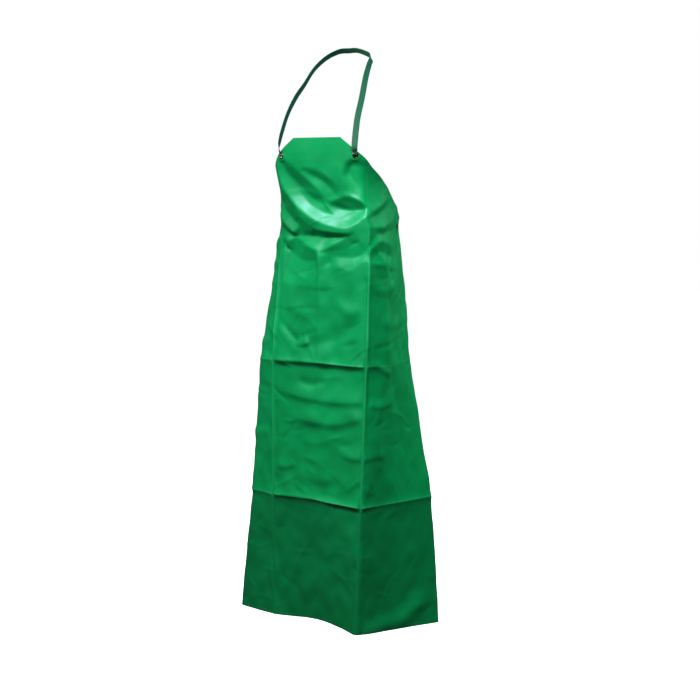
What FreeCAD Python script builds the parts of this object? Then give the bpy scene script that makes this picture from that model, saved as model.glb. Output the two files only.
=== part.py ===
"""Bib apron of coated fabric, hanging as it is worn, with its neck strap and eyelets.

Millimetres. +Z is up, -Y is the front, +X is the wearer's left.
The origin is at the nape, on the inside of the neck strap, where the wearer carries the apron.

The cloth is drawn from its flat pattern: u runs across it from its centre line, v up it from its hem.
"""
import FreeCAD, Part
import math
import os

# Flat pattern
HALF_WIDTH = 380.0
LENGTH = 1200.0
WAIST = 1004.0              # height of the corner where the armhole starts
BIB_SIDE = 1129.0           # height where the armhole meets the bib's cut corner
BIB_HALF_WIDTH = 152.0
BIB_TOP_HALF_WIDTH = 64.0
CREASE = 142.0              # storage crease, from the centre line
SPLIT = 690.0               # below this the side panels fold about their creases
CREASE_GAP = 1.5            # from the crease to the cloth on each side of it
SPLIT_GAP = 5.0
CLOTH = 0.5

# Where the flat pattern's centre line and hem lie, seen from the nape
CENTRE = FreeCAD.Vector(-3.0, -221.0, -1425.0)
CREASE_DROP = 8.0           # the hem hangs this much lower at the creases than at the middle

# How the cloth hangs at each height. Angles are degrees in plan, 0 along +X and 90 along +Y.
# front: the front panel's angle at its -u and +u creases.
# plus: the bend on the +u side, as its place and width, and the side panel's angle from there
# to its edge. minus: the bend on the -u side, and that panel's angle before and after its own
# soft bend. soft: the soft bend's place and width. shift: where the centre line is.
HANG = {
    0: dict(front=(-7, -23), plus=(142, 6, 56, 56), minus=(142, 6, -17, -98), soft=(272, 40), shift=(1, -3)),
    310: dict(front=(-9, -15), plus=(142, 6, 67, 67), minus=(142, 6, -20, -95), soft=(234, 50), shift=(1, 1)),
    650: dict(front=(-10, -5), plus=(142, 6, 82, 94), minus=(142, 6, -26, -100), soft=(208, 60), shift=(4, 3)),
    964: dict(front=(-28, 4), plus=(142, 10, 94, 104), minus=(142, 20, -46, -104), soft=(190, 60), shift=(7, 10)),
    1060: dict(front=(-17, 6), plus=(126, 50, 92, 102), minus=(122, 50, -60, -102), soft=(164, 60), shift=(6, 10)),
    1129: dict(front=(-2, 2), plus=(110, 84, 72, 95), minus=(112, 84, -58, -95), soft=(174, 60), shift=(3, 3)),
    1200: dict(front=(0, 0), plus=(110, 84, 70, 80), minus=(112, 84, -56, -85), soft=(170, 60), shift=(3, 0)),
}
PLAN_STEP = 2.0

# Eyelets: a flanged barrel set through the cloth, with a washer behind it. The cloth is pressed
# flat round each one.
EYELET_BIB = (102.0, 1156.0)
EYELET_WAIST = (356.0, 982.0)
EYELET_HOLE_R = 4.5
EYELET_BARREL_R = 5.0
EYELET_FLANGE_R = 7.8
EYELET_FLANGE = 0.8
EYELET_ROLL_R = 6.2
WASHER_R = 8.0
WASHER = 0.5
FIT = 0.05
FLANGE_CLEARANCE = 0.5
FLAT_R = 27.0
FLAT_FADES_BY = 42.0

# Neck strap: flat tape, with its ends gathered through the bib eyelets and knotted behind
TAPE_WIDTH = 15.0
TAPE = 1.3
GATHERED_WIDTH = 5.6
GATHERED = 2.2
KNOT = (7.0, 5.5, 6.5)      # half sizes along the cloth, through it and up
KNOT_BEHIND = 7.6

# The tape's route from above the right eyelet to above the left one: a point, and the way its
# outer face looks. It goes up and back round the wearer's neck, and twists as it goes.
ROUTE = [
    ((102, -218, -243), (0.45, -0.89, 0.00)),
    ((93, -186, -182), (0.50, -0.86, 0.05)),
    ((84, -145, -132), (0.56, -0.83, 0.10)),
    ((72, -99, -78), (0.68, -0.72, 0.14)),
    ((62, -60, -43), (0.86, -0.46, 0.20)),
    ((54, -32, -25), (0.93, 0.28, 0.24)),
    ((36, -12, -11), (0.60, 0.72, 0.36)),
    ((0, 0.9, 0.9), (0.00, 0.80, 0.60)),
    ((-24, -4, 1.5), (-0.40, 0.72, 0.57)),
    ((-45, -20, 0.5), (-0.72, 0.46, 0.52)),
    ((-62, -55, -20), (-0.93, 0.12, 0.34)),
    ((-72, -98, -51), (-0.98, -0.05, 0.20)),
    ((-80, -136, -92), (-0.99, 0.02, 0.14)),
    ((-88, -165, -124), (-0.98, 0.14, 0.13)),
    ((-95, -194, -166), (-0.99, -0.02, 0.10)),
    ((-100, -216, -218), (-0.86, -0.50, 0.05)),
    ((-102.5, -221, -246), (-0.55, -0.83, 0.00)),
]

# Where the cloth's surface is drawn: heights, and distances from the centre line
SKIRT_ROWS = [0, 155, 310, 480, 650]
UPPER_ROWS = [840, 955, 973, 991, WAIST, 1030, 1060, 1095, BIB_SIDE, 1138, 1147, 1156, 1165, 1180, LENGTH]
FRONT_SHARES = [0, 0.25, 0.5, 0.75, 1]
SIDE_SHARES = [0, 0.06, 0.14, 0.24, 0.36, 0.48, 0.6, 0.8, 1]
SIDE_COLUMNS = [147, 175, 215, 275, 325, 338, 350, 362, HALF_WIDTH]
WAIST_COLUMNS = [share * (CREASE - CREASE_GAP) for share in FRONT_SHARES] + SIDE_COLUMNS
BIB_COLUMNS = [0, 28, 50, 66, 78, 90, 99, 107, 115, 123, 131, 138, 145, BIB_HALF_WIDTH]
TOP_COLUMNS = [share / BIB_HALF_WIDTH * BIB_TOP_HALF_WIDTH for share in BIB_COLUMNS]


def smooth(t):
    t = max(0.0, min(1.0, t))
    return t * t * (3 - 2 * t)


def between(t, low, high):
    return low + (high - low) * max(0.0, min(1.0, t))


def hang_at(v):
    """The hanging angles at one height, between the stated ones."""
    heights = sorted(HANG)
    above = next((h for h in heights if h >= v), heights[-1])
    below = max([h for h in heights if h <= v], default=heights[0])
    t = 0 if above == below else (v - below) / (above - below)
    mixed = {}
    for key in HANG[below]:
        pairs = zip(HANG[below][key], HANG[above][key])
        mixed[key] = [between(t, a, b) for a, b in pairs]
    return mixed


def plan_angle(u, hang):
    """Angle of the cloth in plan, in radians, going towards +u."""
    front = between((u + CREASE) / (2 * CREASE), *hang["front"])
    place, width, inner, outer = hang["plus"]
    plus = between((u - CREASE) / (HALF_WIDTH - CREASE), inner, outer)
    on_plus = smooth((u - place) / width + 0.5)
    place, width, near, far = hang["minus"]
    on_minus = smooth((-u - place) / width + 0.5)
    soft_place, soft_width = hang["soft"]
    minus = between(smooth((-u - soft_place) / soft_width + 0.5), near, far)
    return math.radians(front * (1 - on_plus - on_minus) + plus * on_plus + minus * on_minus)


def hung_point(u, v):
    """Where a point of the flat pattern hangs, before the eyelets press the cloth flat."""
    hang = hang_at(v)
    steps = max(1, math.ceil(abs(u) / PLAN_STEP))
    step = u / steps
    x, y = hang["shift"]
    for k in range(steps):
        angle = plan_angle((k + 0.5) * step, hang)
        x += math.cos(angle) * step
        y += math.sin(angle) * step
    drop = CREASE_DROP * smooth(abs(u) / CREASE) * max(0.0, 1 - v / 1000)
    return CENTRE + FreeCAD.Vector(x, y, v - drop)


def cloth_point(u, v):
    """Where a point of the flat pattern hangs, in the middle of the cloth's thickness."""
    point = hung_point(u, v)
    for eyelet_u, eyelet_v in eyelet_places().values():
        distance = math.hypot(u - eyelet_u, v - eyelet_v)
        if distance < FLAT_FADES_BY:
            pressed = 1 - smooth((distance - FLAT_R) / (FLAT_FADES_BY - FLAT_R))
            out = cloth_front(eyelet_u, eyelet_v)
            point = point - out * ((point - hung_point(eyelet_u, eyelet_v)).dot(out) * pressed)
    return point


def cloth_front(u, v):
    """Unit vector out of the cloth's front face."""
    angle = plan_angle(u, hang_at(v))
    return FreeCAD.Vector(math.sin(angle), -math.cos(angle), 0)


def flat_faces(a, b, c, d):
    """A four-cornered patch as two flat triangles."""
    return [Part.Face(Part.makePolygon([p, q, r, p])) for p, q, r in ((a, b, c), (a, c, d))]


def cloth_solid(rows, columns_at, kept=lambda row, column: True):
    """The cloth with its thickness, over the kept cells of a grid drawn on its flat pattern."""
    grid = [[(cloth_point(u, v), cloth_front(u, v) * (CLOTH / 2)) for u in columns_at(v)] for v in rows]
    front = [[middle + half for middle, half in row] for row in grid]
    back = [[middle - half for middle, half in row] for row in grid]
    cells = [(i, j) for i in range(len(grid) - 1) for j in range(len(grid[0]) - 1) if kept(i, j)]
    faces = []
    for i, j in cells:
        corners = [(i, j), (i, j + 1), (i + 1, j + 1), (i + 1, j)]
        beside = [(i - 1, j), (i, j + 1), (i + 1, j), (i, j - 1)]
        faces += flat_faces(*[front[r][c] for r, c in corners])
        faces += flat_faces(*[back[r][c] for r, c in corners])
        for k in range(4):
            if beside[k] not in cells:
                (r, c), (next_r, next_c) = corners[k], corners[(k + 1) % 4]
                faces += flat_faces(front[r][c], front[next_r][next_c], back[next_r][next_c], back[r][c])
    solid = Part.makeSolid(Part.makeShell(faces))
    if solid.Volume < 0:
        solid.reverse()
    return solid


def both_ways(us):
    return [-u for u in us[::-1]] + us[1:]


def upper_columns(v):
    """Columns across the whole width, drawn in where the armholes and cut corners narrow it."""
    low, high, start, end = WAIST_COLUMNS, BIB_COLUMNS, WAIST, BIB_SIDE
    if v > BIB_SIDE:
        low, high, start, end = BIB_COLUMNS, TOP_COLUMNS, BIB_SIDE, LENGTH
    share = (v - start) / (end - start)
    return both_ways([between(share, a, b) for a, b in zip(low, high)])


def side_columns(side):
    start = CREASE + CREASE_GAP

    def columns(v):
        us = [between(share, start, HALF_WIDTH) for share in SIDE_SHARES]
        return us if side > 0 else [-u for u in reversed(us)]

    return columns


def hole_at(u, v, radius, depth=10.0):
    out = cloth_front(u, v)
    return Part.makeCylinder(radius, 2 * depth, cloth_point(u, v) - out * depth, out)


def eyelet_places():
    places = {}
    for side, word in ((1, "left"), (-1, "right")):
        places["bib_" + word] = (side * EYELET_BIB[0], EYELET_BIB[1])
        places["waist_" + word] = (side * EYELET_WAIST[0], EYELET_WAIST[1])
    return places


def front_sheet():
    """Front panel and bib with the tops of both side panels, as one piece of cloth."""
    rows = SKIRT_ROWS + [SPLIT + SPLIT_GAP] + UPPER_ROWS
    outer = len(WAIST_COLUMNS) - len(FRONT_SHARES)
    last_inner = 2 * (len(WAIST_COLUMNS) - 1) - outer

    def kept(row, column):
        return row >= len(SKIRT_ROWS) or outer <= column < last_inner

    sheet = cloth_solid(rows, upper_columns, kept)
    for u, v in eyelet_places().values():
        sheet = sheet.cut(hole_at(u, v, EYELET_BARREL_R + FIT))
    return sheet


def side_panel(side):
    return cloth_solid(SKIRT_ROWS + [SPLIT], side_columns(side))


def turned(profile, u, v):
    """A ring turned from (radius, height over the cloth's middle) points, set on the cloth."""
    points = [FreeCAD.Vector(r, 0, h) for r, h in profile]
    ring = Part.Face(Part.makePolygon(points + points[:1]))
    solid = ring.revolve(FreeCAD.Vector(), FreeCAD.Vector(0, 0, 1), 360)
    turn = FreeCAD.Rotation(FreeCAD.Vector(0, 0, 1), cloth_front(u, v))
    solid.Placement = FreeCAD.Placement(cloth_point(u, v), turn)
    return solid


def eyelet(u, v):
    front = CLOTH / 2 + FLANGE_CLEARANCE
    top = front + EYELET_FLANGE
    washer_back = -(front + WASHER + FIT)
    roll_back = washer_back - 0.6
    profile = [
        (EYELET_HOLE_R, top - 0.3),
        (EYELET_HOLE_R + 0.6, top),
        (EYELET_FLANGE_R - 0.8, top),
        (EYELET_FLANGE_R, front),
        (EYELET_BARREL_R, front),
        (EYELET_BARREL_R, washer_back),
        (EYELET_ROLL_R, washer_back),
        (EYELET_ROLL_R - 0.5, roll_back),
        (EYELET_HOLE_R, roll_back),
    ]
    return turned(profile, u, v)


def washer(u, v):
    front = -(CLOTH / 2 + FLANGE_CLEARANCE)
    inner = EYELET_BARREL_R + FIT
    profile = [(inner, front), (WASHER_R, front), (WASHER_R - 0.4, front - WASHER), (inner, front - WASHER)]
    return turned(profile, u, v)


def tape_section(centre, across, face, width, thickness):
    corners = [(-1, -1), (1, -1), (1, 1), (-1, 1)]
    points = [centre + across * (a * width / 2) + face * (b * thickness / 2) for a, b in corners]
    return Part.makePolygon(points + points[:1])


def tape_through_eyelet(u, v):
    """Sections of the gathered tape from inside the eyelet to just above it, in that order."""
    out = cloth_front(u, v)
    up = FreeCAD.Vector(0, 0, 1)
    across = out.cross(up)
    middle = cloth_point(u, v)
    slant = (out - up).normalize()
    return [
        tape_section(middle - out * 1.0, across, up * -1, GATHERED_WIDTH, GATHERED),
        tape_section(middle + out * 1.8, across, up * -1, GATHERED_WIDTH, GATHERED),
        tape_section(middle + out * 3.6 + up * 1.6, across, slant, 7.5, 1.8),
        tape_section(middle + out * 4.2 + up * 8.0, across, out, 11.0, TAPE),
    ]


def neck_strap():
    """One length of flat tape between the two bib eyelets, round the back of the neck."""
    points = [FreeCAD.Vector(*p) for p, _ in ROUTE]
    sections = []
    for k, (_, face) in enumerate(ROUTE):
        along = points[min(k + 1, len(points) - 1)] - points[max(k - 1, 0)]
        across = FreeCAD.Vector(*face).cross(along).normalize()
        sections.append(tape_section(points[k], across, along.cross(across).normalize(), TAPE_WIDTH, TAPE))
    u, v = EYELET_BIB
    right_hand_end = tape_through_eyelet(u, v)
    left_hand_end = tape_through_eyelet(-u, v)
    return Part.makeLoft(right_hand_end + sections + left_hand_end[::-1], True, True)


def strap_knot(u, v):
    """The tape's end, knotted behind the eyelet: a rounded lump bigger than the hole."""
    ball = Part.makeSphere(1.0)
    shape = FreeCAD.Matrix()
    shape.scale(*KNOT)
    turn = math.degrees(plan_angle(u, hang_at(v)))
    lump = ball.transformGeometry(shape)
    lump.rotate(FreeCAD.Vector(), FreeCAD.Vector(0, 0, 1), turn)
    lump.translate(cloth_point(u, v) - cloth_front(u, v) * KNOT_BEHIND)
    return lump


def save(name, shape):
    if not shape.isValid():
        raise ValueError(name + " is not a valid shape")
    shape.exportStep("parts/" + name + ".step")
    box = shape.BoundBox
    print(f"{name:22s} solids {len(shape.Solids)} volume {shape.Volume:10.1f} "
          f"x {box.XMin:7.1f} {box.XMax:7.1f} y {box.YMin:7.1f} {box.YMax:7.1f} "
          f"z {box.ZMin:8.1f} {box.ZMax:8.1f}")


def main():
    os.makedirs("parts", exist_ok=True)
    save("front_sheet", front_sheet())
    save("side_panel_left", side_panel(1))
    save("side_panel_right", side_panel(-1))
    for name, (u, v) in eyelet_places().items():
        save("eyelet_" + name, eyelet(u, v))
        save("washer_" + name, washer(u, v))
    save("neck_strap", neck_strap())
    save("strap_knot_left", strap_knot(*EYELET_BIB))
    save("strap_knot_right", strap_knot(-EYELET_BIB[0], EYELET_BIB[1]))


main()
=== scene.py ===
"""Bib apron of coated fabric: the visual model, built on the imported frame.

Lengths in the flat pattern are millimetres: u across the cloth from its centre line, towards the
wearer's left, and v up it from the hem. The frame is in metres.
"""
import bpy
import math
import numpy as np
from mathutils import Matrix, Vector
from mathutils.geometry import delaunay_2d_cdt


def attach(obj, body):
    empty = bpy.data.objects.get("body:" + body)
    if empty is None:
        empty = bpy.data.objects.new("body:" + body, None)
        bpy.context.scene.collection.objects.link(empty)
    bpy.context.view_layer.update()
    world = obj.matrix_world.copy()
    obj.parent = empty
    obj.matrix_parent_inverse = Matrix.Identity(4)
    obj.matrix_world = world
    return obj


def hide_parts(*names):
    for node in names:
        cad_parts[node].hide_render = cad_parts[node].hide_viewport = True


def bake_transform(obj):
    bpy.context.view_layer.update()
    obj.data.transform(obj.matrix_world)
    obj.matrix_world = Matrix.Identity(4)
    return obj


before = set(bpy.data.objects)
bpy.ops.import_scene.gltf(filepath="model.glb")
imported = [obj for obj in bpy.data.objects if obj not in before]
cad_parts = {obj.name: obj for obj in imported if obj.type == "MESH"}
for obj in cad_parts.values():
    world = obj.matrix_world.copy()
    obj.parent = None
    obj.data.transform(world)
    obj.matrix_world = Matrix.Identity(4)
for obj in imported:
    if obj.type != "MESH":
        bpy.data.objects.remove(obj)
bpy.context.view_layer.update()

MM = 0.001
rng = np.random.default_rng(7)

WORLD_LIGHT = 0.10          # the world's strength as light, and as reflected in the object
WORLD_REFLECTED = 0.03

# Flat pattern, in millimetres
HALF_WIDTH = 380.0
LENGTH = 1200.0
WAIST = 1004.0
BIB_SIDE = 1129.0
BIB_HALF_WIDTH = 152.0
BIB_TOP_HALF_WIDTH = 64.0
CORNER_HEIGHTS = [0, WAIST, BIB_SIDE, LENGTH]
CREASE = 142.0              # the long storage creases, from the centre line
LOW_CREASE = 310.0          # the storage creases across the cloth
HIGH_CREASE = 650.0
ARMHOLE_HOLLOW = 7.0        # the armholes curve in this much between their ends
CENTRE = np.array([-3.0, -221.0, -1425.0])     # where the middle of the hem hangs in the frame
CREASE_DROP = 8.0           # the hem is this much lower at the side creases than in the middle
CLOTH = 0.5                 # thickness
HEM_WIDTH = 9.0
HEM_EXTRA = 0.45            # how far the turned-over hem stands out at the back
STITCH_FROM_EDGE = 6.8
EYELETS = {"bib": (102.0, 1156.0), "waist": (356.0, 982.0)}
HOLE_R = 5.6                # radius of the cloth's holes, round the eyelets' barrels

# Where the middle of each eyelet is in the frame, in millimetres, and the way it faces
EYELET_PLACES = {
    "bib_left": ((101.18, -212.98, -269.0), (0.4405, -0.8978, 0)),
    "bib_right": ((-101.58, -214.68, -269.0), (-0.3288, -0.9444, 0)),
    "waist_left": ((113.50, -2.55, -443.14), (0.9759, 0.2184, 0)),
    "waist_right": ((-118.96, 36.76, -443.14), (-0.9719, 0.2356, 0)),
}

# The side panels' hinge lines: a point in the frame in millimetres, and the line's direction
HINGES = {
    1: ((137.1, -251.3, -1100.0), (-0.01444, -0.05461, -0.9984)),
    -1: ((-140.8, -195.6, -1100.0), (0.0, 0.0, 1.0)),
}

# How the cloth hangs at each height: angles in degrees in plan, places and widths in millimetres
HEIGHTS = [0, 310, 650, 964, 1060, 1129, 1200]
HANG = {
    "front": [(-7, -23), (-9, -15), (-10, -5), (-28, 4), (-17, 6), (-2, 2), (0, 0)],
    "plus": [(142, 3, 56, 56), (142, 3, 67, 67), (142, 3, 82, 94), (142, 8, 94, 104),
             (126, 50, 92, 102), (110, 84, 72, 95), (110, 84, 70, 80)],
    "minus": [(142, 3, -17, -98), (142, 3, -20, -95), (142, 3, -26, -100), (142, 16, -46, -104),
              (122, 50, -60, -102), (112, 84, -58, -95), (112, 84, -56, -85)],
    "soft": [(272, 40), (234, 50), (208, 60), (190, 60), (164, 60), (174, 60), (170, 60)],
    "shift": [(1, -3), (1, 1), (4, 3), (7, 10), (6, 10), (3, 3), (3, 0)],
    # beside the left-hand crease a strip of the side panel still faces forward: its outer edge,
    # how far it is turned, and how far the rest of the panel is turned back
    "strip": [(160, 0, 0), (164, 8, 2), (205, 20, 6.5), (208, 10, 2.5)] + [(200, 0, 0)] * 3,
}


def smooth(t):
    t = np.clip(t, 0, 1)
    return t * t * (3 - 2 * t)


# ---- camera, floor, lights

def look(location, pitch, azimuth):
    """Camera turned azimuth degrees from +Y towards -X, and pitch degrees up."""
    camera = bpy.data.objects.new("camera", bpy.data.cameras.new("camera"))
    camera.location = location
    camera.rotation_euler = (math.radians(90 + pitch), 0, math.radians(azimuth))
    camera.data.lens = 77.14
    camera.data.sensor_width = 36
    bpy.context.scene.collection.objects.link(camera)
    bpy.context.scene.camera = camera


def area_light(name, location, target, size, power, reflected=True):
    data = bpy.data.lights.new(name, "AREA")
    data.shape = "RECTANGLE"
    data.size, data.size_y = size
    data.energy = power
    light = bpy.data.objects.new(name, data)
    light.visible_glossy = reflected
    light.location = location
    light.rotation_euler = (Vector(target) - Vector(location)).to_track_quat("-Z", "Y").to_euler()
    bpy.context.scene.collection.objects.link(light)


def set_stage():
    """White surroundings, a pale floor that neither lights nor reflects, and three soft lights."""
    bpy.context.scene.view_settings.view_transform = "Standard"
    world = bpy.data.worlds.new("world")
    world.use_nodes = True
    tree = world.node_tree
    background = tree.nodes["Background"]
    background.inputs["Color"].default_value = (1, 1, 1, 1)
    seen = tree.nodes.new("ShaderNodeLightPath")
    lit = ranged(tree, seen.outputs["Is Glossy Ray"], 0.0, 1.0, WORLD_LIGHT, WORLD_REFLECTED)
    strength = node(tree, "ShaderNodeMapRange", To_Max=1.0)
    tree.links.new(lit, strength.inputs["To Min"])
    tree.links.new(seen.outputs["Is Camera Ray"], strength.inputs["Value"])
    tree.links.new(strength.outputs["Result"], background.inputs["Strength"])
    bpy.context.scene.world = world
    bpy.ops.mesh.primitive_plane_add(size=24, location=(0, 4, -1.62))
    floor = bpy.context.object
    floor.name = "floor"
    floor.visible_glossy = False
    floor.visible_diffuse = False
    material, _, shader, _, _ = new_material("pale_floor")
    shader.inputs["Base Color"].default_value = (0.9, 0.9, 0.9, 1)
    shader.inputs["Roughness"].default_value = 0.8
    shader.inputs["Emission Color"].default_value = (1, 1, 1, 1)
    shader.inputs["Emission Strength"].default_value = 0.95
    floor.data.materials.append(material)
    middle = (0, -0.15, -0.75)
    area_light("key", (-0.4, -1.6, 1.2), (0, -0.2, -0.5), (1.3, 0.7), 90)
    area_light("fill", (1.45, -0.95, 1.4), middle, (1.0, 1.0), 54, reflected=False)
    area_light("back", (0.9, 2.6, 0.6), middle, (2.0, 2.0), 120, reflected=False)


# ---- the hanging surface

def hang_rows(v):
    """Each hanging value at each height, rounded off above the storage creases."""
    reach = 7 + 27 * smooth((v - 700) / 160)
    offsets = [(-1.0, 1), (-0.5, 2), (0.0, 2), (0.5, 2), (1.0, 1)]
    rows = {}
    for key, values in HANG.items():
        table = np.array(values, float)
        total = 0
        for offset, weight in offsets:
            at = v + offset * reach
            total = total + weight * np.array([np.interp(at, HEIGHTS, column) for column in table.T])
        rows[key] = total / sum(weight for _, weight in offsets)
    return rows


def hung(v):
    """Plan x and y at every millimetre across the cloth, for each height in v."""
    rows = hang_rows(v)
    u = np.arange(-400.0, 401.0)[None, :]

    def bend(key, sign):
        place, width, inner, outer = (rows[key][k][:, None] for k in range(4))
        return inner, outer, smooth((sign * u - place) / width + 0.5)

    def mix(t, a, b):
        return a + (b - a) * np.clip(t, 0, 1)

    front = mix((u + CREASE) / (2 * CREASE), rows["front"][0][:, None], rows["front"][1][:, None])
    inner, outer, on_plus = bend("plus", 1)
    plus = mix((u - CREASE) / (HALF_WIDTH - CREASE), inner, outer)
    edge, forward, back = (rows["strip"][k][:, None] for k in range(3))
    beyond = smooth((u - edge) / 34 + 0.5)
    plus = plus - forward * (1 - beyond) + back * beyond
    near, far, on_minus = bend("minus", -1)
    soft_place, soft_width = (rows["soft"][k][:, None] for k in range(2))
    minus = mix(smooth((-u - soft_place) / soft_width + 0.5), near, far)
    angle = np.radians(front * (1 - on_plus - on_minus) + plus * on_plus + minus * on_minus)
    between = (angle[:, 1:] + angle[:, :-1]) / 2
    middle = 400
    out = []
    for turn, shift in ((np.cos, rows["shift"][0]), (np.sin, rows["shift"][1])):
        run = np.concatenate([np.zeros((len(v), 1)), np.cumsum(turn(between), axis=1)], axis=1)
        out.append(run - run[:, middle:middle + 1] + shift[:, None])
    return u[0], out[0], out[1]


# ---- grid over the flat pattern

def stepped(start, end, low, high, step):
    """From start to end, with the given offsets in from each end and even steps between."""
    first, last = start + low[-1], end - high[-1]
    even = np.linspace(first, last, max(2, round((last - first) / step)) + 1)
    return [start + f for f in low[:-1]] + list(even) + [end - f for f in high[-2::-1]]


NEAR_CREASE = [0, 1.2, 3, 6]
NEAR_EDGE = [0, 1.5, 3.5, 5.5, 7.5, 9, 11]


def grid_columns():
    front = stepped(-CREASE, CREASE, NEAR_CREASE, NEAR_CREASE, 3)
    side = stepped(CREASE, HALF_WIDTH, NEAR_CREASE, NEAR_EDGE, 4)
    whole = np.array([-c for c in side[::-1]] + front[1:-1] + side)
    for eu, ev in EYELETS.values():
        at = abs(float(to_c(np.array(eu), np.array(ev))))
        whole = refined(refined(whole, at), -at)
    return whole


def refined(values, middle, reach=12.0, step=1.6):
    """The same values, closer together round the middle."""
    near = np.linspace(middle - reach, middle + reach, round(2 * reach / step) + 1)
    return np.sort(np.concatenate([values[np.abs(values - middle) > reach + 1], near]))


def grid_rows():
    stops = [0, LOW_CREASE, HIGH_CREASE, 860, WAIST, BIB_SIDE, LENGTH]
    rows = []
    for start, end in zip(stops, stops[1:]):
        low = NEAR_EDGE if start == 0 else NEAR_CREASE
        high = NEAR_EDGE if end == LENGTH else NEAR_CREASE
        rows += stepped(start, end, low, high, 2.6 if start > HIGH_CREASE else 3.8)[:-1]
    rows = np.array(rows + [LENGTH])
    for _, ev in EYELETS.values():
        rows = refined(rows, ev)
    return rows


def half_front(v):
    """Half width of the front piece: to the crease, then out to the bib's corner, then the cut corner."""
    return np.interp(v, CORNER_HEIGHTS, [CREASE, CREASE, BIB_HALF_WIDTH, BIB_TOP_HALF_WIDTH])


def half_width(v):
    """Half width of the whole cloth."""
    edge = np.interp(v, CORNER_HEIGHTS, [HALF_WIDTH, HALF_WIDTH, BIB_HALF_WIDTH, BIB_TOP_HALF_WIDTH])
    along = np.clip((v - WAIST) / (BIB_SIDE - WAIST), 0, 1)
    return edge - ARMHOLE_HOLLOW * np.sin(math.pi * along)


def to_u(c, v):
    """Distance from the centre line of a grid column, at height v."""
    side = np.clip((np.abs(c) - CREASE) / (HALF_WIDTH - CREASE), 0, 1)
    inner = np.minimum(np.abs(c), CREASE) / CREASE * half_front(v)
    return np.sign(c) * (inner + side * (half_width(v) - half_front(v)))


def to_c(u, v):
    """Grid column at a distance from the centre line, at height v."""
    a = np.abs(u)
    room = np.maximum(half_width(v) - half_front(v), 1e-6)
    outer = CREASE + (a - half_front(v)) / room * (HALF_WIDTH - CREASE)
    return np.sign(u) * np.where(a <= half_front(v), a / half_front(v) * CREASE, outer)


def edge_distance(u, v):
    """How far inside the cut edge a point of the flat pattern is."""
    a = np.abs(u)
    slope = math.hypot(HALF_WIDTH - BIB_HALF_WIDTH, BIB_SIDE - WAIST)
    armhole = (half_width(v) - a) * (BIB_SIDE - WAIST) / slope
    corner_slope = math.hypot(BIB_HALF_WIDTH - BIB_TOP_HALF_WIDTH, LENGTH - BIB_SIDE)
    cut_line = BIB_HALF_WIDTH - (v - BIB_SIDE) * (BIB_HALF_WIDTH - BIB_TOP_HALF_WIDTH) / (LENGTH - BIB_SIDE)
    corner = (cut_line - a) * (LENGTH - BIB_SIDE) / corner_slope
    distance = np.minimum(np.minimum(v, LENGTH - v), HALF_WIDTH - a)
    distance = np.where(v > WAIST, np.minimum(distance, armhole), distance)
    return np.minimum(distance, np.where(v > BIB_SIDE - 60, corner, distance))


# ---- folds and creases

def between_points(a, b, c, d, f):
    """The Catmull-Rom curve through a, b, c and d, at share f of the way from b to c."""
    squared, cubed = 2 * a - 5 * b + 4 * c - d, 3 * b - a - 3 * c + d
    return 0.5 * (2 * b + (c - a) * f + squared * f ** 2 + cubed * f ** 3)


def rounded(points, count=60):
    """A smooth curve through flat-pattern points."""
    p = np.array(points, float)
    p = np.vstack([2 * p[0] - p[1], p, 2 * p[-1] - p[-2]])
    t = np.linspace(0, len(p) - 3, count)
    k = np.minimum(t.astype(int), len(p) - 4)
    f = (t - k)[:, None]
    a, b, c, d = p[k], p[k + 1], p[k + 2], p[k + 3]
    return between_points(a, b, c, d, f)


def beside(u, v, curve):
    """Signed distance to the left of a curve, and how far along it, from 0 to 1."""
    best = np.full(u.shape, 1e9)
    side = np.zeros(u.shape)
    along = np.zeros(u.shape)
    lengths = np.hypot(*np.diff(curve, axis=0).T)
    total = lengths.sum()
    start = 0.0
    for (a, b), length in zip(zip(curve[:-1], curve[1:]), lengths):
        du, dv = (b - a) / length
        t = np.clip((u - a[0]) * du + (v - a[1]) * dv, 0, length)
        ou, ov = u - a[0] - t * du, v - a[1] - t * dv
        distance = np.hypot(ou, ov)
        nearer = distance < best
        best = np.where(nearer, distance, best)
        side = np.where(nearer, np.sign(du * ov - dv * ou), side)
        along = np.where(nearer, (start + t) / total, along)
        start += length
    return best * np.where(side == 0, 1, side), along


def fold(points, height, left, right, ends=(0.25, 0.25), sharp=False):
    """A ridge (or, with a height below 0, a furrow) along a curve. left and right are its widths on
    each side, and ends the shares of its length over which it rises and dies out."""
    return rounded(points), height, left, right, ends, sharp


def fold_height(u, v, curve, height, left, right, ends, sharp):
    d, along = beside(u, v, curve)
    width = np.where(d > 0, left, right)
    across = np.exp(-np.abs(d) / width) if sharp else np.exp(-(d / width) ** 2)
    fade = np.ones_like(along)
    if ends[0]:
        fade = fade * smooth(along / ends[0])
    if ends[1]:
        fade = fade * smooth((1 - along) / ends[1])
    return height * across * fade


def ripple(u, v, size, height, count=14):
    """Soft irregular waves about size across."""
    total = np.zeros_like(u)
    for _ in range(count):
        turn = rng.uniform(0, 2 * math.pi)
        wave = 2 * math.pi / (size * rng.uniform(0.7, 1.6))
        total += np.sin(wave * (u * math.cos(turn) + v * math.sin(turn)) + rng.uniform(0, 2 * math.pi))
    return height * total / math.sqrt(count)


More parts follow.
